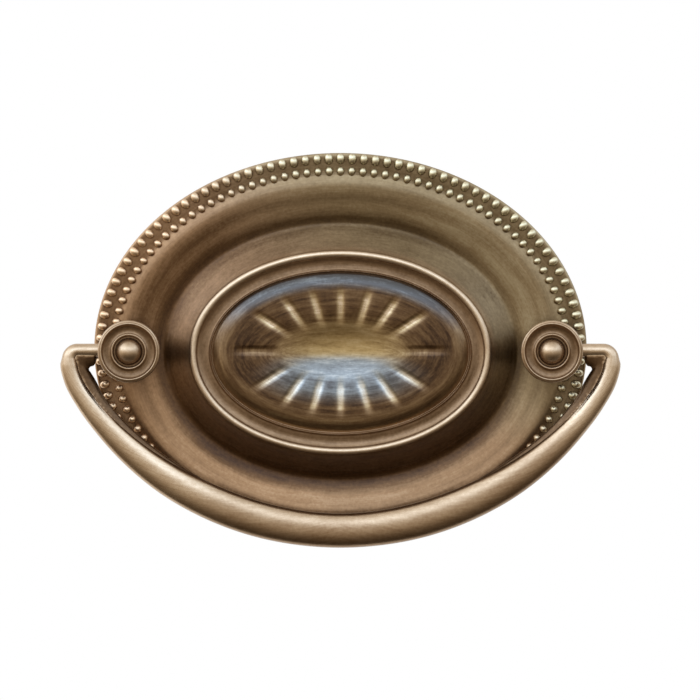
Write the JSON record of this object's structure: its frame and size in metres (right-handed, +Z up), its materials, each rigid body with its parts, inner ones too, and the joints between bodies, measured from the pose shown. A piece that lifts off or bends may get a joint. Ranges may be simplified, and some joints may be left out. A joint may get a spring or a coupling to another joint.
{
  "type": "drawer pull",
  "caption": "Oval bail pull with a beaded backplate and a fluted medallion, turned posts and a crescent handle that swings out to open a drawer.",
  "frame": {"origin": "on the drawer's face, midway between the two studs", "axes": "+X along the pull through both posts, +Y along the studs into the drawer, +Z up"},
  "size_m": [0.1016, 0.0383, 0.0717],
  "materials": {
    "plate_brass": "brushed antique patina, dark in the hollows",
    "bail_brass": "brushed antique patina, worn bright",
    "post_brass": "turned antique patina",
    "zinc_steel": "zinc plated"
  },
  "bodies": {
    "mounted": {"backplate": "plate_brass", "post_left": "post_brass", "post_right": "post_brass", "washer_left": "zinc_steel", "washer_right": "zinc_steel", "nut_left": "zinc_steel", "nut_right": "zinc_steel"},
    "bail": {"bail": "bail_brass"}
  },
  "joints": [
    {"name": "bail_swing", "type": "hinge", "parent": "mounted", "child": "bail", "pos_m": [0, -0.00575, 0], "axis": [-1, 0, 0], "range_deg": [-1.2, 181.2]}
  ]
}
